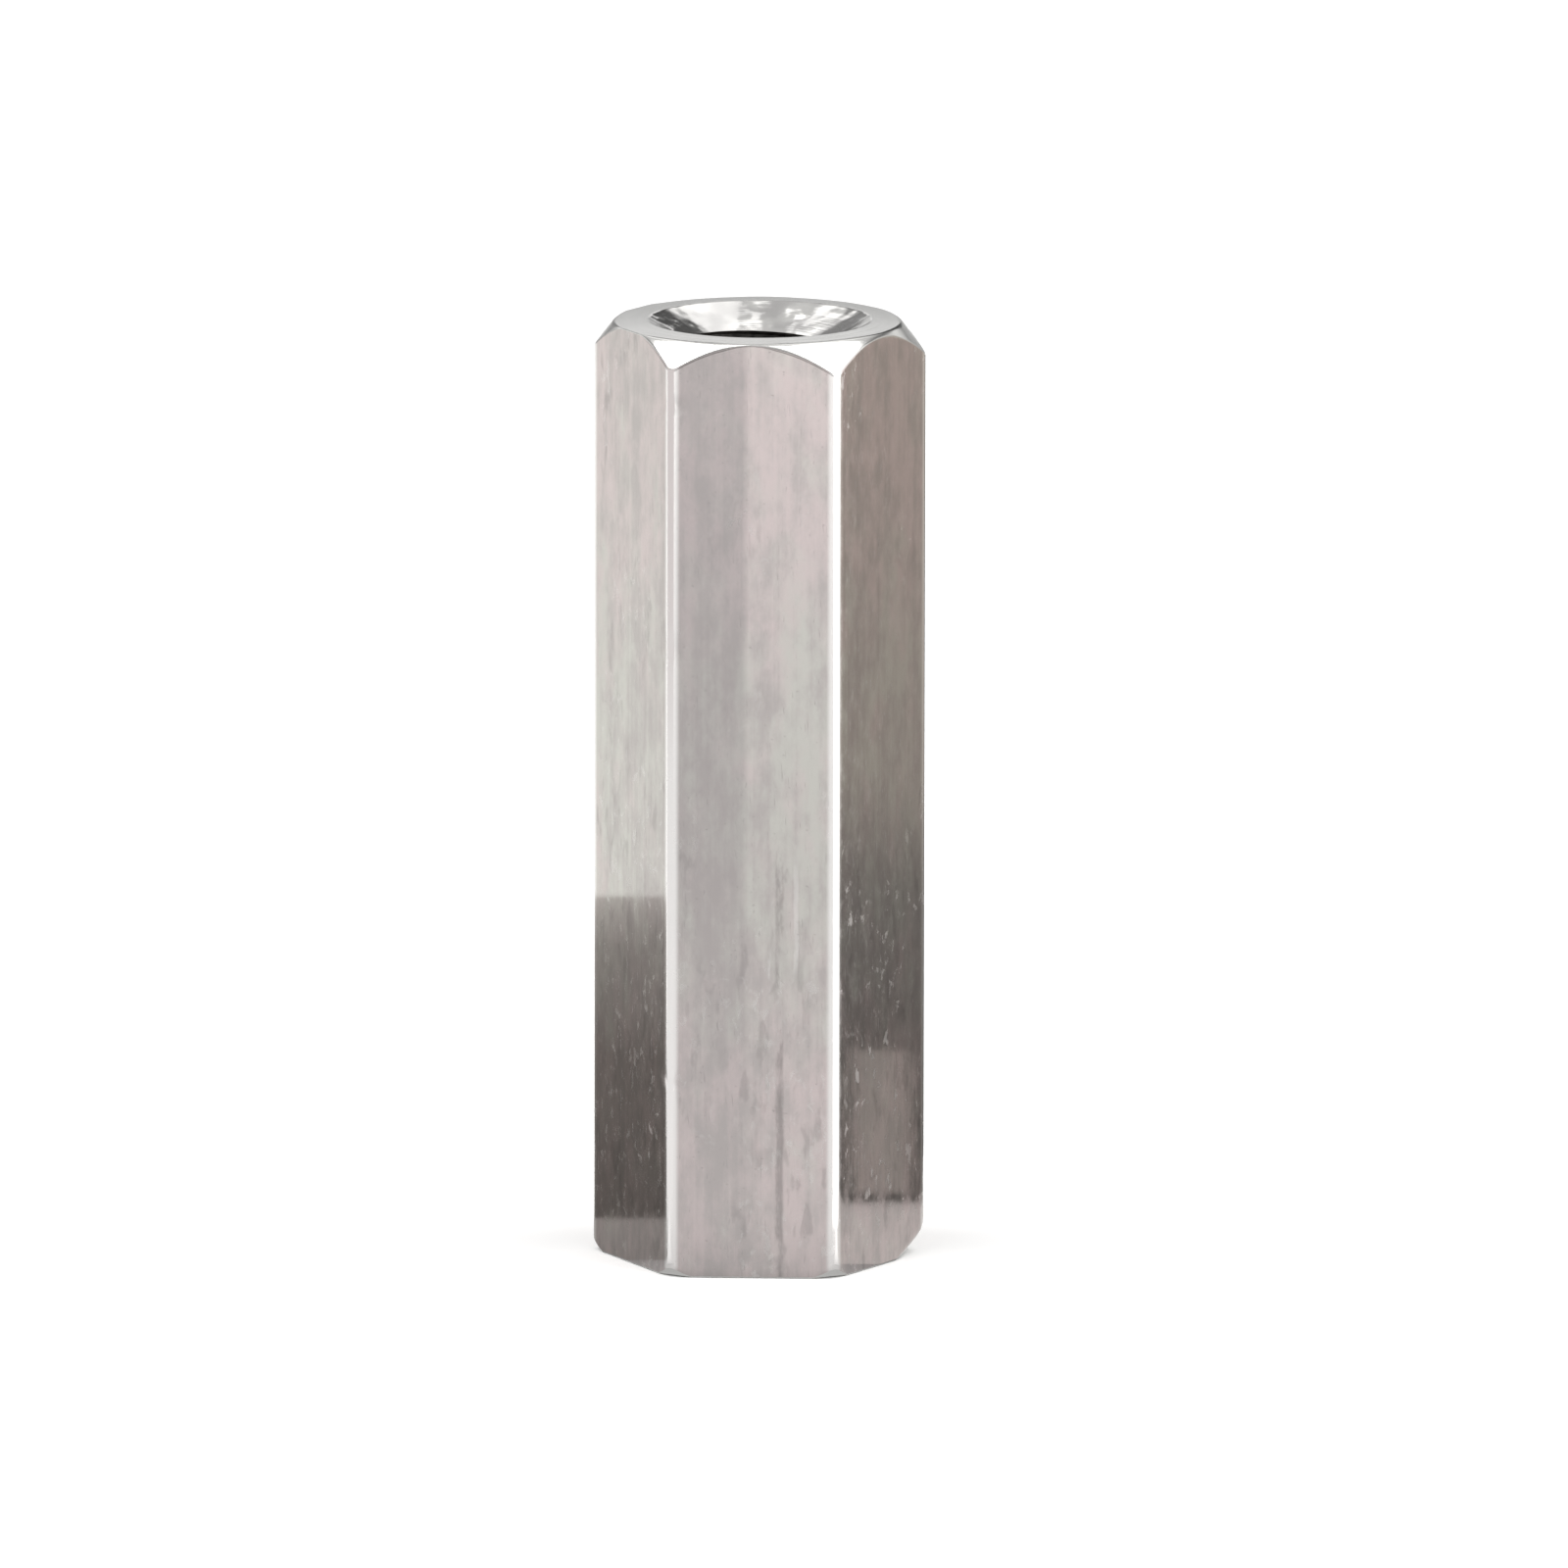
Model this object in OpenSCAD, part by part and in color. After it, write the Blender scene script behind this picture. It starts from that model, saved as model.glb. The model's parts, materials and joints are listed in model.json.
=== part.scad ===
// Hex standoff with a tapped hole through it, cut from drawn hexagon bar.
// Millimetres. The hole runs along +Z, the foot lies on z = 0, and one flat faces -Y.

/* [Bar] */
// Distance across the flats of the hexagon bar
across_flats = 5.5; // [5:0.1:10]
// Radius along the drawn corners of the bar
corner_radius = 0.2; // [0.05:0.01:0.5]
// Length from the foot to the top face
length = 18; // [5:0.5:60]

/* [Top end] */
// How far the rim of the top face lies inside the flats
top_rim_inset = 0.025; // [0.005:0.005:0.3]
// Slope of the top chamfer, in degrees from the end face
top_chamfer_slope = 50; // [20:1:65]

/* [Foot end] */
// How far the edge break reaches in from the corners
foot_break = 0.26; // [0.05:0.01:0.5]
// Slope of the edge break, in degrees from the end face
foot_break_slope = 45; // [30:1:60]

/* [Tapped hole] */
// Diameter of the hole, which is the minor diameter of its thread
hole_d = 2.5; // [1.6:0.05:4]
// Diameter of the countersink's mouth at each end
countersink_d = 4.24; // [2.6:0.02:4.9]
// Full cone angle of the countersinks
countersink_angle = 120; // [60:1:140]

/* [Hidden] */
$fn = 96;

// The bar's section: a sharp hexagon through the centres of the corner radii, grown by that radius
corner_center_r = (across_flats - 2 * corner_radius) / sqrt(3);
corner_r = corner_center_r + corner_radius;

// Rims of the two flat end faces
top_rim_r = across_flats / 2 - top_rim_inset;
foot_rim_r = corner_r - foot_break;

// The turning envelope and the hole run this far past the bar
overrun = 1;
envelope_r = corner_r + overrun;

hole_r = hole_d / 2;
countersink_r = countersink_d / 2;
countersink_spread = tan(countersink_angle / 2);
countersink_depth = (countersink_r - hole_r) / countersink_spread;

// Section of the drawn bar, with true arcs at its corners
module bar_section() {
    for (turn = [0:60:120])
        rotate(turn)
            square([corner_center_r, across_flats], center = true);
    for (turn = [0:60:300])
        rotate(turn)
            translate([corner_center_r, 0])
                circle(r = corner_radius);
}

// What the lathe leaves at the ends: one cone turned on the top corners and one on the foot's
module turned_envelope() {
    rotate_extrude()
        polygon([
            [0, 0],
            [foot_rim_r, 0],
            [envelope_r, (envelope_r - foot_rim_r) * tan(foot_break_slope)],
            [envelope_r, length - (envelope_r - top_rim_r) * tan(top_chamfer_slope)],
            [top_rim_r, length],
            [0, length]
        ]);
}

// The drilled hole, opened by a countersink at each end
module countersunk_hole() {
    mouth_r = countersink_r + overrun * countersink_spread;
    rotate_extrude()
        polygon([
            [0, -overrun],
            [mouth_r, -overrun],
            [hole_r, countersink_depth],
            [hole_r, length - countersink_depth],
            [mouth_r, length + overrun],
            [0, length + overrun]
        ]);
}

// The whole standoff: where the top cone cuts the flats it leaves a scallop on each of them
module standoff() {
    color([0.76, 0.74, 0.72])
        difference() {
            intersection() {
                linear_extrude(height = length)
                    bar_section();
                turned_envelope();
            }
            countersunk_hole();
        }
}

standoff();
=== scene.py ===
"""Looks of a hex standoff: drawn hexagon bar with turned ends, a countersunk hole and a cut thread."""

import json
import math

import bmesh
import bpy
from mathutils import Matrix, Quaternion, Vector


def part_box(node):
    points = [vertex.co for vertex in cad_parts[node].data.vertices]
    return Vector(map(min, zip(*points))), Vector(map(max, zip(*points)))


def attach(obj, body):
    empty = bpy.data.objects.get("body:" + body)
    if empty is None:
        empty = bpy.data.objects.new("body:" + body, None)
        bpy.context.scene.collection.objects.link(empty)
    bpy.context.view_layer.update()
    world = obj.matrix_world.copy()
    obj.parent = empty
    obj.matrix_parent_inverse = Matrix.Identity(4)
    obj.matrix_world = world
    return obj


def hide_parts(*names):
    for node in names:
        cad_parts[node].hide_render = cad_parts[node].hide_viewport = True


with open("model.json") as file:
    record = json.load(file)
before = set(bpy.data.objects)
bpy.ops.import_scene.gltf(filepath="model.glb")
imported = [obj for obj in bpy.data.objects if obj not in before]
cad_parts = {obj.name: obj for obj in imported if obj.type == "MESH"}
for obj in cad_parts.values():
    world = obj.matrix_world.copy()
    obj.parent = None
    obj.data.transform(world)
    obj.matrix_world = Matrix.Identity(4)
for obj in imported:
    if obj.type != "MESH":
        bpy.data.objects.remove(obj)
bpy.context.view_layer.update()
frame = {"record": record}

# Sizes in millimetres, taken from the frame where it has them
MM = 0.001
node_low, node_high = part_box("standoff")
LENGTH = (node_high.z - node_low.z) / MM
ACROSS_FLATS = (node_high.y - node_low.y) / MM
CORNER_REACH = node_high.x / MM
thread_mount = next(m for m in frame["record"]["mounts"] if m["name"] == "thread_top")
HOLE_R = thread_mount["dims"]["r_mm"]

SHARP_CORNER = ACROSS_FLATS / math.sqrt(3)
CORNER_RADIUS = (SHARP_CORNER - CORNER_REACH) / (2 / math.sqrt(3) - 1)

# Turned ends
TOP_RIM_INSET = 0.025
TOP_RIM_R = ACROSS_FLATS / 2 - TOP_RIM_INSET
TOP_CHAMFER_SLOPE = math.radians(52)
TOP_CHAMFER_SHIFT = 0.05
TOP_EDGE = 0.015
TOP_FALL = 0.03
FOOT_BREAK = 0.17
FOOT_BREAK_WORN = 0.27
FOOT_WEAR_FOCUS = 6
FOOT_EDGE = 0.03

# Corners of the half section in order, and how far the rounded ones are rounded
FOOT_RIM, FOOT_SHOULDER, TOP_SHOULDER, TOP_RIM, TOP_MOUTH, TOP_THROAT, FOOT_THROAT, FOOT_MOUTH = range(8)
EDGE_ROUND = {
    FOOT_RIM: 0.30,
    FOOT_SHOULDER: 0.30,
    TOP_SHOULDER: 0.05,
    TOP_RIM: 0.07,
    TOP_MOUTH: 0.03,
    FOOT_MOUTH: 0.03,
}
# The most of a side that one rounding takes, and where the holding points lie outside a bend
BEND_SHARE = 0.42
HOLD_SHARE = 1.15

# Small dents in the bar's corners: the corner's heading in degrees, height, half length and depth
CORNER_NICKS = [
    (-120, 3.8, 0.24, 0.021),
    (-120, 12.1, 0.45, 0.012),
    (-120, 16.8, 0.25, 0.014),
    (-60, 1.35, 0.4, 0.007),
    (60, 6.2, 0.3, 0.016),
    (120, 13.3, 0.45, 0.018),
]
NICK_HALF_WIDTH = 1.2 * CORNER_RADIUS
NICK_ROWS = 8

# Countersinks and thread
COUNTERSINK_R = 2.12
COUNTERSINK_SLOPE = math.radians(30)
COUNTERSINK_DEPTH = (COUNTERSINK_R - HOLE_R) * math.tan(COUNTERSINK_SLOPE)
CHATTER = 0.004
# Waves that the chatter is made of: how many round the cone, where they start, and their share
CHATTER_WAVES = ((7, 0.6, 1.0), (11, 2.1, 0.6), (23, 0.0, 0.3))
THREAD_PITCH = 0.5
THREAD_MAJOR_R = 1.5
THREAD_CORE_R = 1.15
THREAD_FLANK = math.radians(30)
THREAD_CREST = THREAD_PITCH / 8
THREAD_OVERRUN = 3 * THREAD_PITCH
THREAD_START = math.radians(157)

# Fineness of the mesh
CORNER_STEPS = 8
FLAT_CUTS = 19
EDGE_STEPS = 4
CONE_ROWS = 6
THREAD_STEPS = 72
MERGE_GAP = 0.0005
SMOOTH_ANGLE = math.radians(25)

# Faces whose normal rises less than this count as upright, and flats lie this near to their distance
UPRIGHT_RISE = 0.3
FLAT_MARGIN = 0.01
# Places of the four finishes among the piece's materials
FLATS, ENDS, SINKS, THREAD = range(4)


def open_for_editing(piece):
    """Makes a piece the only selected object and opens it for editing."""
    bpy.ops.object.select_all(action="DESELECT")
    piece.select_set(True)
    bpy.context.view_layer.objects.active = piece
    bpy.ops.object.mode_set(mode="EDIT")


def close_editing():
    bpy.ops.object.mode_set(mode="OBJECT")


def apply_modifier(piece, modifier):
    """Applies a modifier to a piece."""
    bpy.ops.object.select_all(action="DESELECT")
    piece.select_set(True)
    bpy.context.view_layer.objects.active = piece
    bpy.ops.object.modifier_apply(modifier=modifier.name)


def move_selected(piece, place):
    """Moves each selected point of the open mesh to where place puts it."""
    mesh = bmesh.from_edit_mesh(piece.data)
    for point in mesh.verts:
        if point.select:
            point.co = place(point.co)
    bmesh.update_edit_mesh(piece.data)


def select_open_edges():
    """Selects the edges of the open mesh that have a face on one side only."""
    bpy.ops.mesh.select_mode(type="EDGE")
    bpy.ops.mesh.select_all(action="DESELECT")
    bpy.ops.mesh.select_non_manifold(
        extend=False,
        use_wire=False,
        use_boundary=True,
        use_multi_face=False,
        use_non_contiguous=False,
        use_verts=False,
    )


# The bar with its turned ends

def bar_outline():
    """The section of the drawn bar: a hexagon with rounded corners, its flats cut into even steps."""
    bpy.ops.object.select_all(action="DESELECT")
    bpy.ops.mesh.primitive_circle_add(vertices=6, radius=SHARP_CORNER, fill_type="NOTHING")
    bar = bpy.context.object
    bar.name = "hex_standoff"
    bar.rotation_euler.z = math.radians(30)
    bpy.ops.object.transform_apply(location=True, rotation=True, scale=True)
    bpy.ops.object.mode_set(mode="EDIT")
    bpy.ops.mesh.select_all(action="SELECT")
    bpy.ops.mesh.bevel(
        offset=CORNER_RADIUS * math.tan(math.radians(30)),
        segments=CORNER_STEPS,
        affect="VERTICES",
    )
    outline = bmesh.from_edit_mesh(bar.data)
    for edge in outline.edges:
        edge.select_set(edge.calc_length() > CORNER_RADIUS)
    bmesh.update_edit_mesh(bar.data)
    bpy.ops.mesh.subdivide(number_cuts=FLAT_CUTS)
    bpy.ops.mesh.select_all(action="SELECT")
    return bar


def keep_reach(bar):
    """Notes on each point of the outline its distance from the axis, which extruded points take along."""
    mesh = bmesh.from_edit_mesh(bar.data)
    note = mesh.verts.layers.float.new("reach")
    for point in mesh.verts:
        point[note] = math.hypot(point.co.x, point.co.y)
    bmesh.update_edit_mesh(bar.data)


def foot_rim(reach, heading):
    """Radius of the foot's flat end: the corners are broken, the one at +X more than the others."""
    worn = FOOT_BREAK_WORN * max(0, math.cos(heading)) ** FOOT_WEAR_FOCUS
    return min(CORNER_REACH - FOOT_BREAK - worn, reach - FOOT_EDGE)


def top_rim(reach, heading):
    """Radius of the top's flat end: the chamfer was cut a little off centre, deeper towards +X."""
    off_centre = TOP_RIM_R - TOP_CHAMFER_SHIFT * math.cos(heading)
    return min(off_centre, reach - TOP_EDGE)


def profile_corners(reach, heading):
    """Corners of the part's half section in one direction: distance from the axis and height."""
    rim = foot_rim(reach, heading)
    top = top_rim(reach, heading)
    chamfer_drop = (reach - top) * math.tan(TOP_CHAMFER_SLOPE) + TOP_FALL
    return [
        Vector((rim, 0)),
        Vector((reach, reach - rim)),
        Vector((reach, LENGTH - chamfer_drop)),
        Vector((top, LENGTH - TOP_FALL)),
        Vector((COUNTERSINK_R, LENGTH)),
        Vector((HOLE_R, LENGTH - COUNTERSINK_DEPTH)),
        Vector((HOLE_R, COUNTERSINK_DEPTH)),
        Vector((COUNTERSINK_R, 0)),
    ]


def rounded_corner(before, corner, after, size):
    """Points that round one corner of the half section, with a holding point before and after the bend."""
    into = before - corner
    out = after - corner
    reach = min(size, BEND_SHARE * into.length, BEND_SHARE * out.length)
    start = corner + into.normalized() * reach
    end = corner + out.normalized() * reach
    bend = []
    for step in range(EDGE_STEPS + 1):
        t = step / EDGE_STEPS
        bend.append(start * (1 - t) ** 2 + corner * 2 * t * (1 - t) + end * t ** 2)
    hold = reach * HOLD_SHARE
    return [corner + into.normalized() * hold] + bend + [corner + out.normalized() * hold]


def chatter(heading):
    """Waviness left by the countersink's cutting edges."""
    return sum(share * math.sin(count * heading + start) for count, start, share in CHATTER_WAVES)


def cone_rows(mouth, throat, heading):
    """Points down a countersink between its mouth and the hole, a little wavy from the cutter."""
    rows = []
    for row in range(1, CONE_ROWS):
        point = mouth.lerp(throat, row / CONE_ROWS)
        rows.append(point + Vector((0, CHATTER * chatter(heading))))
    return rows


def nick_depth(heading, height, nick):
    """How deep one nick is in a direction and at a height."""
    corner, middle, half_length, depth = nick
    turn = (heading - math.radians(corner) + math.pi) % math.tau - math.pi
    across = turn * CORNER_REACH / NICK_HALF_WIDTH
    along = (height - middle) / half_length
    nearness = max(0, 1 - across ** 2) * max(0, 1 - along ** 2)
    return depth * nearness ** 2


def flat_rows(reach, heading):
    """Points up the side of the bar, close together where a corner is nicked."""
    rows = []
    for nick in sorted(CORNER_NICKS, key=lambda nick: nick[1]):
        _, middle, half_length, _ = nick
        for row in range(NICK_ROWS + 1):
            height = middle + half_length * (2 * row / NICK_ROWS - 1)
            rows.append(Vector((reach - nick_depth(heading, height, nick), height)))
    return rows


def half_section(reach, heading):
    """All points of the half section in one direction, from the foot's rim round to the foot's mouth."""
    corners = profile_corners(reach, heading)
    points = []
    for place, corner in enumerate(corners):
        before = corners[place - 1]
        after = corners[(place + 1) % len(corners)]
        if place in EDGE_ROUND:
            points += rounded_corner(before, corner, after, EDGE_ROUND[place])
        else:
            points.append(corner)
        if place == FOOT_SHOULDER:
            points += flat_rows(reach, heading)
        if place == TOP_MOUTH:
            points += cone_rows(points[-1], corners[TOP_THROAT], heading)
        if place == FOOT_THROAT:
            mouth = corners[FOOT_MOUTH]
            mouth_bend = rounded_corner(corner, mouth, corners[FOOT_RIM], EDGE_ROUND[FOOT_MOUTH])
            points += cone_rows(corner, mouth_bend[0], heading)
    return points


def turned_skin(bar):
    """Draws the skin up the flats, over the top, down the hole and out over the foot, and closes it."""
    keep_reach(bar)
    row_count = len(half_section(SHARP_CORNER, 0))
    for row in range(row_count):
        if row:
            bpy.ops.mesh.extrude_edges_move()
        mesh = bmesh.from_edit_mesh(bar.data)
        note = mesh.verts.layers.float["reach"]
        for point in mesh.verts:
            if point.select:
                heading = math.atan2(point.co.y, point.co.x)
                out, up = half_section(point[note], heading)[row]
                point.co = Vector((out * math.cos(heading), out * math.sin(heading), up))
        bmesh.update_edit_mesh(bar.data)
    select_open_edges()
    bpy.ops.mesh.bridge_edge_loops()
    bpy.ops.mesh.select_all(action="SELECT")
    bpy.ops.mesh.normals_make_consistent(inside=False)


def thread_tap():
    """A tap longer than the part: the thread's ridge wound round a core that is thinner than the hole."""
    def half_width(radius):
        return THREAD_CREST / 2 + (THREAD_MAJOR_R - radius) * math.tan(THREAD_FLANK)

    foot_width = half_width(THREAD_CORE_R)
    crest_width = half_width(THREAD_MAJOR_R)
    ridge = [
        Vector((THREAD_CORE_R, 0, -THREAD_PITCH / 2)),
        Vector((THREAD_CORE_R, 0, -foot_width)),
        Vector((THREAD_MAJOR_R, 0, -crest_width)),
        Vector((THREAD_MAJOR_R, 0, crest_width)),
        Vector((THREAD_CORE_R, 0, foot_width)),
        Vector((THREAD_CORE_R, 0, THREAD_PITCH / 2)),
    ]
    bpy.ops.object.select_all(action="DESELECT")
    bpy.ops.mesh.primitive_plane_add()
    tap = bpy.context.object
    tap.name = "thread_tap"
    bpy.ops.object.mode_set(mode="EDIT")
    bpy.ops.mesh.select_mode(type="VERT")
    bpy.ops.mesh.select_all(action="SELECT")
    bpy.ops.mesh.merge(type="CENTER")
    move_selected(tap, lambda point: ridge[0])
    for corner in ridge[1:]:
        bpy.ops.mesh.extrude_vertices_move()
        move_selected(tap, lambda point: corner)
    close_editing()
    winding = tap.modifiers.new("winding", "SCREW")
    winding.axis = "Z"
    winding.angle = math.tau
    winding.screw_offset = THREAD_PITCH
    winding.iterations = math.ceil((LENGTH + 2 * THREAD_OVERRUN) / THREAD_PITCH)
    winding.steps = winding.render_steps = THREAD_STEPS
    winding.use_merge_vertices = True
    winding.merge_threshold = MERGE_GAP
    apply_modifier(tap, winding)
    tap.location.z = -THREAD_OVERRUN
    tap.rotation_euler.z = THREAD_START
    bpy.ops.object.transform_apply(location=True, rotation=True, scale=True)
    open_for_editing(tap)
    bpy.ops.mesh.select_mode(type="VERT")
    bpy.ops.mesh.select_all(action="SELECT")
    bpy.ops.mesh.remove_doubles(threshold=MERGE_GAP)
    select_open_edges()
    bpy.ops.mesh.fill()
    bpy.ops.mesh.select_all(action="SELECT")
    bpy.ops.mesh.normals_make_consistent(inside=False)
    close_editing()
    return tap


def cut_thread(bar, tap):
    """Cuts the tap out of the bar and throws the tap away."""
    tapping = bar.modifiers.new("tapping", "BOOLEAN")
    tapping.operation = "DIFFERENCE"
    tapping.solver = "EXACT"
    tapping.object = tap
    tapping.material_mode = "TRANSFER"
    apply_modifier(bar, tapping)
    bpy.data.objects.remove(tap)


def give_finishes(bar, flats, ends, sinks, thread):
    """Gives each face of the bar its finish, by where the face lies."""
    for finish in (flats, ends, sinks, thread):
        bar.data.materials.append(finish)
    for face in bar.data.polygons:
        reach = math.hypot(face.center.x, face.center.y)
        if reach > ACROSS_FLATS / 2 - FLAT_MARGIN and abs(face.normal.z) < UPRIGHT_RISE:
            face.material_index = FLATS
        elif reach > COUNTERSINK_R:
            face.material_index = ENDS
        elif abs(face.normal.z) > UPRIGHT_RISE:
            face.material_index = SINKS
        else:
            face.material_index = THREAD


def finish_piece(bar):
    """Brings the finished mesh from millimetres to metres and smooths what is not a true edge."""
    bpy.ops.object.select_all(action="DESELECT")
    bar.select_set(True)
    bpy.context.view_layer.objects.active = bar
    bar.scale = (MM, MM, MM)
    bpy.ops.object.transform_apply(location=True, rotation=True, scale=True)
    bpy.ops.object.shade_smooth_by_angle(angle=SMOOTH_ANGLE)


# Shader helpers

def add_node(tree, kind, inputs=(), **settings):
    """Adds a shader node; each input is given a value, or a socket that it is linked from."""
    node = tree.nodes.new("ShaderNode" + kind)
    for name, value in settings.items():
        setattr(node, name, value)
    for name, value in dict(inputs).items():
        if isinstance(value, bpy.types.NodeSocket):
            tree.links.new(value, node.inputs[name])
        else:
            node.inputs[name].default_value = value
    return node


def calculate(tree, operation, first, second=0.0, third=0.0):
    """One sum on two or three numbers."""
    return add_node(tree, "Math", {0: first, 1: second, 2: third}, operation=operation).outputs[0]


def scaled(tree, vector, factors):
    """A position stretched differently along each axis."""
    return add_node(tree, "VectorMath", {0: vector, 1: factors}, operation="MULTIPLY").outputs[0]


def noise(tree, position, stretch, detail=2.0, roughness=0.5, distortion=0.0):
    """Soft cloudy noise between 0 and 1, with its fineness along each axis."""
    inputs = {
        "Vector": scaled(tree, position, stretch),
        "Scale": 1.0,
        "Detail": detail,
        "Roughness": roughness,
        "Distortion": distortion,
    }
    return add_node(tree, "TexNoise", inputs).outputs["Fac"]


def between(tree, value, low, high, to_low=0.0, to_high=1.0):
    """Brings a value from one range smoothly into another."""
    inputs = {"Value": value, "From Min": low, "From Max": high, "To Min": to_low, "To Max": to_high}
    return add_node(tree, "MapRange", inputs, interpolation_type="SMOOTHSTEP").outputs["Result"]


def weighted_sum(tree, parts):
    """Adds up values, each taken with its share."""
    total = 0.0
    for value, share in parts:
        total = calculate(tree, "MULTIPLY_ADD", value, share, total)
    return total


def blend(tree, amount, first, second):
    """Mixes two colours."""
    mix = add_node(tree, "Mix", {0: amount}, data_type="RGBA")
    for place, colour in ((6, first), (7, second)):
        if isinstance(colour, bpy.types.NodeSocket):
            tree.links.new(colour, mix.inputs[place])
        else:
            mix.inputs[place].default_value = tuple(colour) + (1,)
    return mix.outputs[2]


def effect_group(name, outputs):
    """Starts a shared effect: a node group that takes a position in millimetres."""
    group = bpy.data.node_groups.new(name, "ShaderNodeTree")
    group.interface.new_socket(name="Position", in_out="INPUT", socket_type="NodeSocketVector")
    for output in outputs:
        group.interface.new_socket(name=output, in_out="OUTPUT", socket_type="NodeSocketFloat")
    start = group.nodes.new("NodeGroupInput")
    end = group.nodes.new("NodeGroupOutput")
    return group, start.outputs["Position"], end.inputs


def use_effect(tree, group, position):
    """Uses a shared effect in a material."""
    node = tree.nodes.new("ShaderNodeGroup")
    node.node_tree = group
    tree.links.new(position, node.inputs["Position"])
    return node.outputs


def steel_material(name):
    """Starts a steel material: its node tree, its shader and the position in millimetres."""
    steel = bpy.data.materials.new(name)
    steel.use_nodes = True
    tree = steel.node_tree
    shader = tree.nodes["Principled BSDF"]
    shader.inputs["Metallic"].default_value = 1
    place = add_node(tree, "TexCoord").outputs["Object"]
    position = scaled(tree, place, (1 / MM, 1 / MM, 1 / MM))
    return steel, tree, shader, position


def add_bump(tree, shader, height, depth):
    """Raises fine relief on a shader, with its depth in millimetres."""
    bump = add_node(tree, "Bump", {"Height": height, "Distance": depth * MM, "Strength": 1.0})
    tree.links.new(bump.outputs["Normal"], shader.inputs["Normal"])


# Shared effects on the steel

def drawing_lines_effect():
    """Lines that the drawing die leaves along the bar, broad bands to fine lines, and cloudy stains."""
    group, position, out = effect_group("drawing_lines", ("Band", "Cloud", "Streak", "Line", "Tint"))
    parts = {
        "Band": ((0.9, 0.9, 0.03), 2.0),
        "Cloud": ((2.1, 2.1, 0.95), 5.0),
        "Streak": ((8, 8, 0.10), 4.0),
        "Line": ((30, 30, 0.25), 2.0),
        "Tint": ((1.5, 1.5, 0.75), 3.0),
    }
    for name, (stretch, detail) in parts.items():
        group.links.new(noise(group, position, stretch, detail, roughness=0.6), out[name])
    return group


def scratches_effect():
    """Short thin scratches from handling, most of them along the bar and some across it."""
    group, position, out = effect_group("handling_scratches", ("Mask",))
    kinds = (
        (4, (30, 30, 0.7), 0.71),
        (-7, (36, 36, 0.9), 0.73),
        (62, (22, 22, 0.8), 0.745),
    )
    masks = []
    for slant, stretch, threshold in kinds:
        turn = math.radians(slant)
        turned = add_node(group, "Mapping", {"Vector": position, "Rotation": (turn, turn, 0)}).outputs[0]
        lines = noise(group, turned, stretch, detail=1.0)
        masks.append(between(group, lines, threshold, threshold + 0.05))
    both = calculate(group, "MAXIMUM", masks[0], masks[1])
    group.links.new(calculate(group, "MAXIMUM", both, masks[2]), out["Mask"])
    return group


def skin_effect():
    """Mottling of the bar's skin: pale strokes and dark blots in patches, and an unevenness all over."""
    group, position, out = effect_group("mottled_skin", ("Strokes", "Blots", "Mottle"))
    height = add_node(group, "SeparateXYZ", {0: position}).outputs[2]
    more_below = between(group, height, 10.0, 6.0, -0.06, 0.08)
    patchy = calculate(group, "ADD", noise(group, position, (0.7, 0.7, 0.3)), more_below)
    patches = between(group, patchy, 0.42, 0.60)
    curly = noise(group, position, (5.0, 5.0, 3.0), detail=3.0, roughness=0.6, distortion=0.5)
    strokes = between(group, curly, 0.56, 0.70)
    clotted = noise(group, position, (3.6, 3.6, 1.3), detail=2.5, roughness=0.6, distortion=0.25)
    blots = between(group, clotted, 0.54, 0.68)
    group.links.new(calculate(group, "MULTIPLY", strokes, patches), out["Strokes"])
    group.links.new(calculate(group, "MULTIPLY", blots, patches), out["Blots"])
    group.links.new(noise(group, position, (4.0, 4.0, 2.0), detail=4.0, roughness=0.6), out["Mottle"])
    return group


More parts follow.
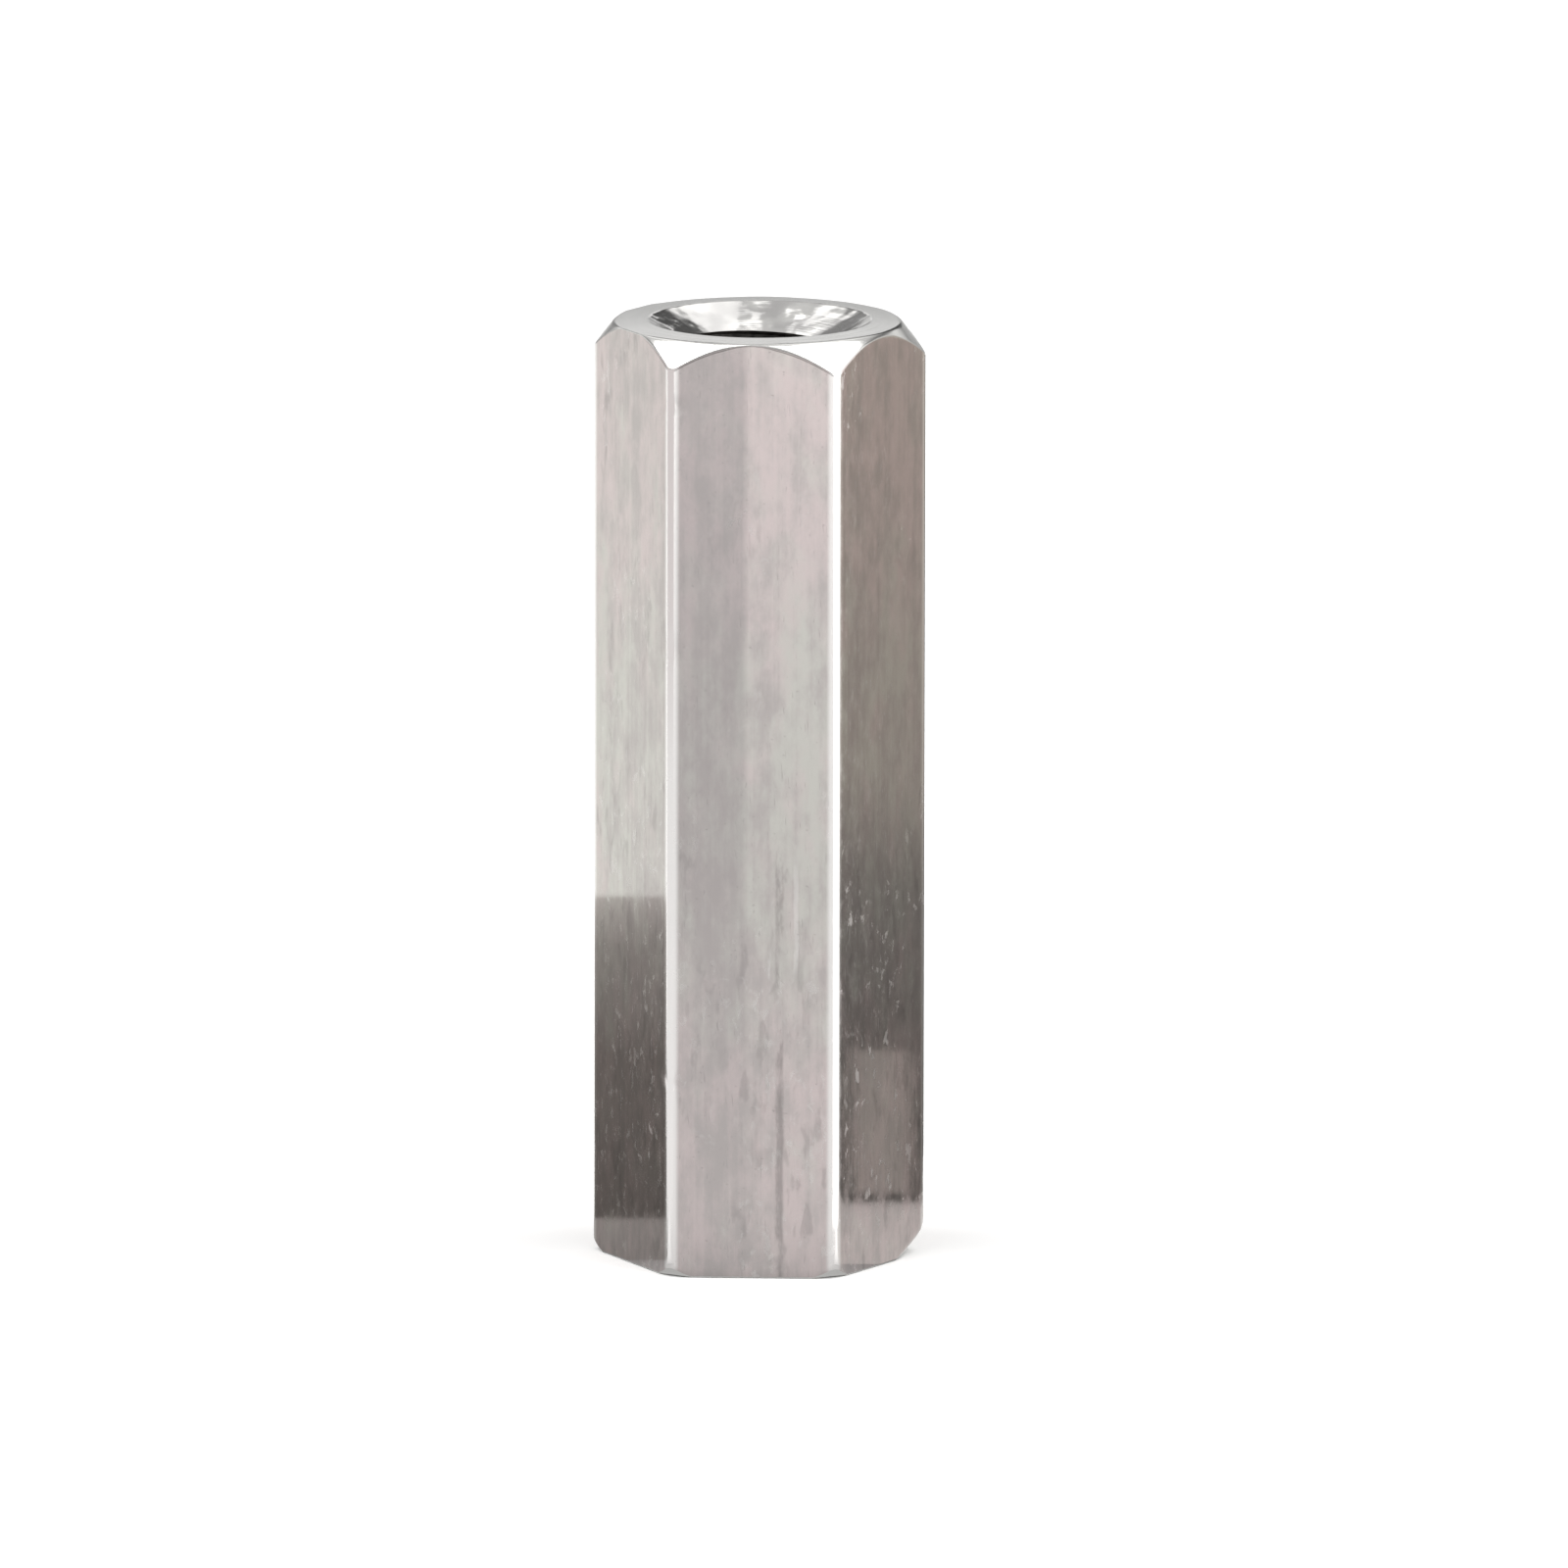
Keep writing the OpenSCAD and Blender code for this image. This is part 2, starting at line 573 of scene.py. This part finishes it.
def front_marks_effect():
    """Marks on the front flat: a darker left half that is painted shade, and a scored line between bright
    lines that are painted highlights.
    """
    group, position, out = effect_group("front_marks", ("Shade", "Score", "Glint"))
    split = add_node(group, "SeparateXYZ", {0: position}).outputs
    front_flat = -ACROSS_FLATS / 2
    front = between(group, split[1], front_flat + 0.2, front_flat + 0.05)
    border = noise(group, position, (0, 0, 0.7), detail=4.0, roughness=0.6)
    ragged = calculate(group, "MULTIPLY_ADD", border, 0.3, calculate(group, "SUBTRACT", split[0], 0.15))
    left = between(group, ragged, -0.02, -0.26)
    fading = between(group, split[2], 1.0, 13.0, 0.25, 1.0)
    # Painted shade: the left half of the front flat is darkened, more towards the top
    shade = calculate(group, "MULTIPLY", calculate(group, "MULTIPLY", left, fading), front)
    group.links.new(shade, out["Shade"])
    wander = noise(group, position, (0, 0, 1.3), detail=4.0, roughness=0.6)
    breaks = noise(group, position, (3, 3, 0.8), detail=4.0, roughness=0.65)

    def scored_line(offset, half_width, foot, top, low, high):
        """A broken line up the flat: its place, half width and ends, and the noise that breaks it."""
        middle = calculate(group, "MULTIPLY_ADD", wander, 0.14, offset - 0.07)
        off_line = calculate(group, "ABSOLUTE", calculate(group, "SUBTRACT", split[0], middle))
        line = between(group, off_line, half_width, 0.35 * half_width)
        above = between(group, split[2], foot - 0.3, foot + 0.3)
        below = between(group, split[2], top + 0.5, top - 0.5)
        stretch = calculate(group, "MULTIPLY", above, below)
        broken = calculate(group, "MULTIPLY", between(group, breaks, low, high), stretch)
        return calculate(group, "MULTIPLY", calculate(group, "MULTIPLY", line, broken), front)

    score = scored_line(offset=0.51, half_width=0.11, foot=-1.0, top=8.6, low=0.40, high=0.60)
    # Painted highlights: bright lines beside the score
    glint_right = scored_line(offset=0.82, half_width=0.06, foot=5.9, top=7.9, low=0.40, high=0.55)
    glint_left = scored_line(offset=0.31, half_width=0.05, foot=2.6, top=6.3, low=0.45, high=0.60)
    group.links.new(score, out["Score"])
    group.links.new(calculate(group, "MAXIMUM", glint_right, glint_left), out["Glint"])
    return group


def turning_rings_effect():
    """Fine rings that the lathe tool leaves round the axis."""
    group, position, out = effect_group("turning_rings", ("Tone", "Height"))
    split = add_node(group, "SeparateXYZ", {0: position})
    flat = add_node(group, "CombineXYZ", {0: split.outputs[0], 1: split.outputs[1]}).outputs[0]
    reach = add_node(group, "VectorMath", {0: flat}, operation="LENGTH").outputs["Value"]
    across = calculate(group, "ADD", reach, calculate(group, "MULTIPLY", split.outputs[2], 0.7))
    wander = scaled(group, flat, (0.25, 0.25, 0))
    spread = add_node(group, "CombineXYZ", {2: calculate(group, "MULTIPLY", across, 18)}).outputs[0]
    rings = add_node(group, "VectorMath", {0: wander, 1: spread}, operation="ADD").outputs[0]
    group.links.new(noise(group, rings, (1, 1, 1), detail=3.0, roughness=0.6), out["Height"])
    group.links.new(noise(group, position, (1.1, 1.1, 1.1), detail=3.0), out["Tone"])
    return group


drawing_lines = drawing_lines_effect()
handling_scratches = scratches_effect()
mottled_skin = skin_effect()
front_marks = front_marks_effect()
turning_rings = turning_rings_effect()


# Finishes of the steel, with the darkest and the brightest tone of the cut ones

PINKISH_STEEL = (0.60, 0.523, 0.515)
GREY_STEEL = (0.565, 0.553, 0.516)
STAINED_STEEL = (0.465, 0.43, 0.418)
BLOTTED_STEEL = (0.25, 0.23, 0.225)
STROKED_STEEL = (0.72, 0.70, 0.68)
# Painted shade on the left half of the front flat
SHADED_STEEL = (0.27, 0.25, 0.25)
SCORED_STEEL = (0.22, 0.20, 0.195)
# Painted highlight on the bright lines beside the score
GLINTING_STEEL = (0.78, 0.76, 0.74)
SCRATCHED_STEEL = (0.25, 0.235, 0.23)
# Corners worn bright, and lightened further as a painted highlight
RUBBED_AND_HIGHLIT_STEEL = (0.86, 0.84, 0.825)
TURNED_STEEL = ((0.55, 0.545, 0.53), (0.70, 0.69, 0.67))
CUT_STEEL = ((0.54, 0.53, 0.52), (0.72, 0.71, 0.69))
# Painted shade: the thread's steel is darkened for the shade deep in the hole
SHADED_THREAD_STEEL = ((0.10, 0.095, 0.09), (0.22, 0.21, 0.20))


def drawn_flats_finish():
    """Bright drawn steel: flats with lines along the bar, stains and scratches; corners worn bright and
    lightened more as a painted highlight.
    """
    steel, tree, shader, position = steel_material("drawn_flats")
    lines = use_effect(tree, drawing_lines, position)
    scratches = use_effect(tree, handling_scratches, position)["Mask"]
    skin = use_effect(tree, mottled_skin, position)
    front = use_effect(tree, front_marks, position)
    split = add_node(tree, "SeparateXYZ", {0: position}).outputs
    from_axis = add_node(tree, "CombineXYZ", {0: split[0], 1: split[1]}).outputs[0]
    reach = add_node(tree, "VectorMath", {0: from_axis}, operation="LENGTH").outputs["Value"]
    # Worn corners, also lightened as a painted highlight
    rubbed_and_highlit = between(tree, reach, CORNER_REACH - 0.07, CORNER_REACH - 0.02)

    from_middle = calculate(tree, "ABSOLUTE", calculate(tree, "SUBTRACT", split[2], LENGTH / 2))
    mid_length = between(tree, from_middle, 1.5, 6.0, 0.13, -0.13)
    greyer = calculate(tree, "MULTIPLY_ADD", lines["Tint"], 0.9, mid_length)
    tinted = blend(tree, between(tree, greyer, 0.27, 0.66), PINKISH_STEEL, GREY_STEEL)
    tone = weighted_sum(tree, (
        (lines["Band"], 0.25),
        (lines["Cloud"], 0.38),
        (lines["Streak"], 0.15),
        (lines["Line"], 0.03),
        (skin["Mottle"], 0.19),
    ))
    colour = blend(tree, between(tree, tone, 0.40, 0.59), STAINED_STEEL, tinted)
    marks = (
        (skin["Blots"], 0.32, BLOTTED_STEEL),
        (skin["Strokes"], 0.34, STROKED_STEEL),
        (front["Shade"], 0.41, SHADED_STEEL),
        (front["Score"], 0.55, SCORED_STEEL),
        (front["Glint"], 0.35, GLINTING_STEEL),
        (scratches, 0.30, SCRATCHED_STEEL),
        (rubbed_and_highlit, 0.85, RUBBED_AND_HIGHLIT_STEEL),
    )
    for mask, share, marked in marks:
        colour = blend(tree, calculate(tree, "MULTIPLY", mask, share), colour, marked)
    tree.links.new(colour, shader.inputs["Base Color"])

    roughness = weighted_sum(tree, (
        (between(tree, skin["Mottle"], 0.35, 0.75, 0.09, 0.20), 1.0),
        (skin["Strokes"], 0.22),
        (rubbed_and_highlit, 0.03),
    ))
    tree.links.new(roughness, shader.inputs["Roughness"])
    shader.inputs["Anisotropic"].default_value = 0.15

    relief = weighted_sum(tree, (
        (lines["Streak"], 0.5),
        (lines["Line"], 0.25),
        (lines["Cloud"], 1.2),
        (scratches, -0.4),
        (front["Score"], -1.2),
        (front["Glint"], 0.3),
    ))
    add_bump(tree, shader, relief, depth=0.0018)
    return steel


def turned_end_finish():
    """Turned steel of the end faces, the chamfer and the foot's edge break."""
    steel, tree, shader, position = steel_material("turned_end")
    rings = use_effect(tree, turning_rings, position)
    colour = blend(tree, rings["Tone"], *TURNED_STEEL)
    tree.links.new(colour, shader.inputs["Base Color"])
    tree.links.new(between(tree, rings["Height"], 0.3, 0.7, 0.16, 0.24), shader.inputs["Roughness"])
    shader.inputs["Anisotropic"].default_value = 0.4
    shader.inputs["Anisotropic Rotation"].default_value = 0.25
    add_bump(tree, shader, rings["Height"], depth=0.0006)
    return steel


def countersink_finish():
    """The countersink's cut cone: bright, with rings and smears from the cutter."""
    steel, tree, shader, position = steel_material("countersink")
    rings = use_effect(tree, turning_rings, position)
    smears = noise(tree, position, (1.5, 1.5, 2), detail=1.5)
    colour = blend(tree, between(tree, smears, 0.35, 0.65), *CUT_STEEL)
    tree.links.new(colour, shader.inputs["Base Color"])
    tree.links.new(between(tree, smears, 0.3, 0.7, 0.17, 0.10), shader.inputs["Roughness"])
    relief = calculate(tree, "MULTIPLY_ADD", rings["Height"], 0.03, smears)
    add_bump(tree, shader, relief, depth=0.07)
    return steel


def tapped_thread_finish():
    """The cut thread, its steel darkened as painted shade in the hole, and a little rough from the tap."""
    steel, tree, shader, position = steel_material("tapped_thread")
    tearing = noise(tree, position, (9, 9, 9), detail=3.0)
    tree.links.new(blend(tree, tearing, *SHADED_THREAD_STEEL), shader.inputs["Base Color"])
    tree.links.new(between(tree, tearing, 0.3, 0.7, 0.28, 0.42), shader.inputs["Roughness"])
    add_bump(tree, shader, tearing, depth=0.004)
    return steel


# The finished piece

bar = bar_outline()
turned_skin(bar)
close_editing()
tapped_thread = tapped_thread_finish()
give_finishes(bar, drawn_flats_finish(), turned_end_finish(), countersink_finish(), tapped_thread)
tap = thread_tap()
tap.data.materials.append(tapped_thread)
cut_thread(bar, tap)
finish_piece(bar)
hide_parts("standoff")
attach(bar, "root")


# Camera: its angles, its lens and sensor, the width that it sees at the part, and its aim

CAMERA_TURN = math.radians(2.5)
CAMERA_RISE = math.radians(10.4)
CAMERA_ROLL = math.radians(0.1)
LENS = 800
SENSOR = 36
FRAME_WIDTH = 29.8
AIM_RIGHT = 0.469
AIM_UP = 0.032


def as_seen(right, away, up):
    """A place in the scene from its millimetres to the right, away and up as the camera sees them."""
    across = Vector((math.cos(CAMERA_TURN), math.sin(CAMERA_TURN), 0))
    depth = Vector((-math.sin(CAMERA_TURN), math.cos(CAMERA_TURN), 0))
    return (across * right + depth * away + Vector((0, 0, up))) * MM


def photo_camera():
    """The photo's camera: far away with a long lens, a little to the right and above."""
    back = as_seen(0, -math.cos(CAMERA_RISE), math.sin(CAMERA_RISE)).normalized()
    facing = (-back).to_track_quat("-Z", "Y") @ Quaternion((0, 0, 1), CAMERA_ROLL)
    aim = Vector((0, 0, LENGTH / 2)) + facing @ Vector((AIM_RIGHT, AIM_UP, 0))
    bpy.ops.object.camera_add()
    camera = bpy.context.object
    camera.name = "photo_camera"
    camera.data.lens = LENS
    camera.data.sensor_width = SENSOR
    camera.data.clip_start = 0.01
    camera.data.clip_end = 10
    camera.rotation_euler = facing.to_euler()
    camera.location = (aim + back * FRAME_WIDTH * LENS / SENSOR) * MM
    bpy.context.scene.camera = camera


photo_camera()
bpy.context.scene.view_settings.view_transform = "Standard"


# Stage and light

FLOOR_SIZE = 2000
PAPER_WHITE = (0.86, 0.86, 0.855, 1)

# Tones of the dome by the sine of the height above the horizon
DOME_TONES = (
    (0.0, 0.42),
    (0.12, 0.48),
    (0.18, 0.60),
    (0.26, 1.0),
    (0.36, 1.0),
    (0.42, 0.20),
    (0.52, 0.20),
    (0.62, 0.72),
    (1.0, 0.66),
)
DOME_STRENGTH = 1.1

SOFTBOX_DISTANCE = 300
SOFTBOX_WIDTH = 260
SOFTBOX_HEIGHT = 200
SOFTBOX_RADIANCE = 3.6

# Lying cards are this far apart in height, and hung cards this far from the part's top
FLOOR_GAP = 0.02
HANG_DISTANCE = 60

# Where the cards that the left and the right face reflect look to, right and away from the camera
LEFT_VIEW = (0.819, -0.574)
RIGHT_VIEW = (-0.906, -0.423)


def paper_floor():
    """A pale paper floor."""
    bpy.ops.object.select_all(action="DESELECT")
    bpy.ops.mesh.primitive_plane_add(size=FLOOR_SIZE * MM)
    floor = bpy.context.object
    floor.name = "paper_floor"
    paper = bpy.data.materials.new("pale_paper")
    paper.use_nodes = True
    shader = paper.node_tree.nodes["Principled BSDF"]
    shader.inputs["Base Color"].default_value = PAPER_WHITE
    shader.inputs["Roughness"].default_value = 0.9
    shader.inputs["Specular IOR Level"].default_value = 0
    floor.data.materials.append(paper)


def set_stops(ramp, stops):
    """Gives a colour ramp its stops, each a place and a colour."""
    while len(ramp.elements) < len(stops):
        ramp.elements.new(1.0)
    for element, (place, colour) in zip(ramp.elements, stops):
        element.position = place
        element.color = tuple(colour) + (1,)


def grey(tone, warmth=0.0):
    """A grey, or a brownish one when it is warm."""
    return (tone * (1 + warmth), tone, tone * (1 - warmth))


def studio_dome():
    """Light from all round: paler with height, with a dim belt between the walls and the ceiling."""
    dome = bpy.data.worlds.new("studio_dome")
    bpy.context.scene.world = dome
    dome.use_nodes = True
    tree = dome.node_tree
    direction = add_node(tree, "TexCoord").outputs["Object"]
    rise = add_node(tree, "SeparateXYZ", {0: direction}).outputs[2]
    ramp = add_node(tree, "ValToRGB", {0: rise})
    set_stops(ramp.color_ramp, [(place, grey(tone)) for place, tone in DOME_TONES])
    background = tree.nodes["Background"]
    tree.links.new(ramp.outputs["Color"], background.inputs["Color"])
    background.inputs["Strength"].default_value = DOME_STRENGTH


def softbox(name, towards):
    """A large soft light that faces the part."""
    bpy.ops.object.light_add(type="AREA")
    lamp = bpy.context.object
    lamp.name = name
    lamp.data.shape = "RECTANGLE"
    lamp.data.size = SOFTBOX_WIDTH * MM
    lamp.data.size_y = SOFTBOX_HEIGHT * MM
    lamp.data.energy = SOFTBOX_RADIANCE * math.pi * SOFTBOX_WIDTH * SOFTBOX_HEIGHT * MM * MM
    direction = as_seen(*towards).normalized()
    lamp.location = direction * SOFTBOX_DISTANCE * MM
    lamp.rotation_euler = direction.to_track_quat("Z", "Y").to_euler()


def reflection_card(name, width, height, tones, strength=1.0):
    """A card that shows only in the steel, with tones from its lower edge to its upper one."""
    bpy.ops.object.select_all(action="DESELECT")
    bpy.ops.mesh.primitive_plane_add(size=1)
    card = bpy.context.object
    card.name = name
    card.scale = (width * MM, height * MM, 1)
    glow = bpy.data.materials.new(name)
    glow.use_nodes = True
    tree = glow.node_tree
    tree.nodes.clear()
    place = add_node(tree, "TexCoord").outputs["Object"]
    up = calculate(tree, "ADD", add_node(tree, "SeparateXYZ", {0: place}).outputs[1], 0.5)
    ramp = add_node(tree, "ValToRGB", {0: up})
    set_stops(ramp.color_ramp, tones)
    light = add_node(tree, "Emission", {"Color": ramp.outputs["Color"], "Strength": strength})
    end = add_node(tree, "OutputMaterial")
    tree.links.new(light.outputs[0], end.inputs["Surface"])
    glow.cycles.emission_sampling = "NONE"
    card.data.materials.append(glow)
    card.visible_camera = False
    card.visible_diffuse = False
    card.visible_shadow = False
    card.visible_transmission = False
    return card


def stand_card(card, right, away, foot, faces):
    """Stands a card upright with its foot at a height, facing a level direction."""
    height = card.scale.y / MM
    card.location = as_seen(right, away, foot + height / 2)
    card.rotation_euler = as_seen(*faces, 0).to_track_quat("Z", "Y").to_euler()


def lay_card(card, right, away, towards, layer=1):
    """Lays a card on the floor, its upper edge in a level direction; a higher layer covers a lower one."""
    heading = as_seen(*towards, 0)
    card.location = as_seen(right, away, layer * FLOOR_GAP)
    card.rotation_euler.z = math.atan2(heading.y, heading.x) - math.pi / 2


def hang_card(card, towards):
    """Hangs a card over the part in a direction, facing the part's top."""
    direction = as_seen(*towards).normalized()
    card.location = direction * HANG_DISTANCE * MM + Vector((0, 0, LENGTH * MM))
    card.rotation_euler = direction.to_track_quat("Z", "Y").to_euler()


paper_floor()
studio_dome()
softbox("left_softbox", (-0.5, -0.15, 0.85))
softbox("right_softbox", (0.5, -0.15, 0.85))

# The paper in front, which the front flat reflects: dim at the part's foot, brightest far away
front_paper = reflection_card("front_paper", width=60, height=120, tones=[
    (0.0, grey(0.30)),
    (0.03, grey(0.35)),
    (0.055, grey(0.80)),
    (0.10, grey(0.95)),
    (0.5, grey(0.99)),
    (0.9, grey(1.14)),
])
lay_card(front_paper, right=0, away=-57, towards=(0, -1))

# The dark card that the left face reflects, its shadow, and the pale board behind it
left_dark_card = reflection_card("left_dark_card", width=3.4, height=6.3, tones=[
    (0.0, grey(0.16, 0.06)),
    (0.5, grey(0.21, 0.06)),
    (0.84, grey(0.37, 0.04)),
    (1.0, grey(0.66, 0.03)),
])
stand_card(left_dark_card, right=-5.90, away=1.150, foot=0, faces=LEFT_VIEW)
left_shadow = reflection_card("left_shadow", width=4.5, height=4.6, tones=[
    (0.0, grey(0.42, 0.03)),
    (1.0, grey(0.36, 0.03)),
])
lay_card(left_shadow, right=-4.4, away=0.1, towards=LEFT_VIEW, layer=2)
left_pale_board = reflection_card("left_pale_board", width=7.0, height=26, strength=1.12, tones=[
    (0.0, (0.99, 1.0, 0.98)),
    (1.0, (0.94, 0.95, 0.93)),
])
stand_card(left_pale_board, right=-13.9, away=6.8, foot=0, faces=LEFT_VIEW)

# The brown board that the right face reflects, with a lighter panel at its foot and a dim floor before it
right_brown_board = reflection_card("right_brown_board", width=6.0, height=20, tones=[
    (0.0, grey(0.19, 0.05)),
    (0.16, grey(0.205, 0.05)),
    (0.30, grey(0.25, 0.05)),
    (0.42, grey(0.42, 0.08)),
    (1.0, grey(0.55, 0.09)),
])
stand_card(right_brown_board, right=7.77, away=1.066, foot=0, faces=RIGHT_VIEW)
right_panel = reflection_card("right_panel", width=1.08, height=2.9, tones=[
    (0.0, grey(0.10, 0.05)),
    (0.03, grey(0.12, 0.05)),
    (0.05, grey(0.45, 0.06)),
    (1.0, grey(0.43, 0.06)),
])
stand_card(right_panel, right=7.71, away=1.038, foot=0.12, faces=RIGHT_VIEW)
right_dim_floor = reflection_card("right_dim_floor", width=8.0, height=8.0, tones=[
    (0.0, grey(0.70, 0.02)),
    (1.0, grey(0.78, 0.02)),
])
lay_card(right_dim_floor, right=5.9, away=0.2, towards=RIGHT_VIEW, layer=2)

# The dark end of the room behind, seen only in the right corner of the bar
right_dark_back = reflection_card("right_dark_back", width=8.0, height=16.5, tones=[
    (0.0, grey(0.10)),
    (1.0, grey(0.14)),
])
stand_card(right_dark_back, right=7.0, away=8.0, foot=0, faces=(-0.66, -0.75))

# Bright strips beside the part that light its two front edges, and bright paper at their feet
left_bright_strip = reflection_card("left_bright_strip", width=8.0, height=22, strength=1.24, tones=[
    (0.0, grey(0.82)),
    (0.4, grey(0.79)),
    (0.55, (0.66, 0.63, 0.63)),
    (1.0, (0.62, 0.58, 0.58)),
])
stand_card(left_bright_strip, right=-6.22, away=-4.76, foot=0, faces=(0.906, 0.423))
right_bright_strip = reflection_card("right_bright_strip", width=9.5, height=22, strength=1.5, tones=[
    (0.0, grey(1.0)),
    (1.0, grey(1.0)),
])
stand_card(right_bright_strip, right=6.67, away=-3.85, foot=0, faces=(-0.866, 0.5))
left_bright_floor = reflection_card("left_bright_floor", width=1.4, height=4.6, tones=[
    (0.0, grey(1.25)),
    (0.7, grey(1.05)),
    (1.0, grey(0.6)),
])
lay_card(left_bright_floor, right=-4.2, away=-3.65, towards=(0.95, 0.33), layer=3)
right_bright_floor = reflection_card("right_bright_floor", width=1.4, height=4.6, tones=[
    (0.0, grey(1.5)),
    (0.7, grey(1.25)),
    (1.0, grey(0.6)),
])
lay_card(right_bright_floor, right=4.2, away=-3.65, towards=(-0.95, 0.33), layer=3)

# What the countersink reflects: two bright windows behind with a dim gap between them, and two dark corners
right_window = reflection_card("right_window", width=21, height=31, strength=1.6, tones=[
    (0.0, grey(0.9)),
    (1.0, grey(1.0)),
])
hang_card(right_window, (0.26, 0.50, 0.83))
left_window = reflection_card("left_window", width=11, height=27, strength=1.9, tones=[
    (0.0, grey(0.8)),
    (1.0, grey(1.0)),
])
hang_card(left_window, (-0.40, 0.60, 0.70))
right_dark_corner = reflection_card("right_dark_corner", width=16, height=32, tones=[
    (0.0, grey(0.08)),
    (1.0, grey(0.12)),
])
hang_card(right_dark_corner, (0.30, 0.85, 0.36))
left_dim_corner = reflection_card("left_dim_corner", width=14, height=30, tones=[
    (0.0, grey(0.30)),
    (1.0, grey(0.34)),
])
hang_card(left_dim_corner, (-0.30, 0.90, 0.28))
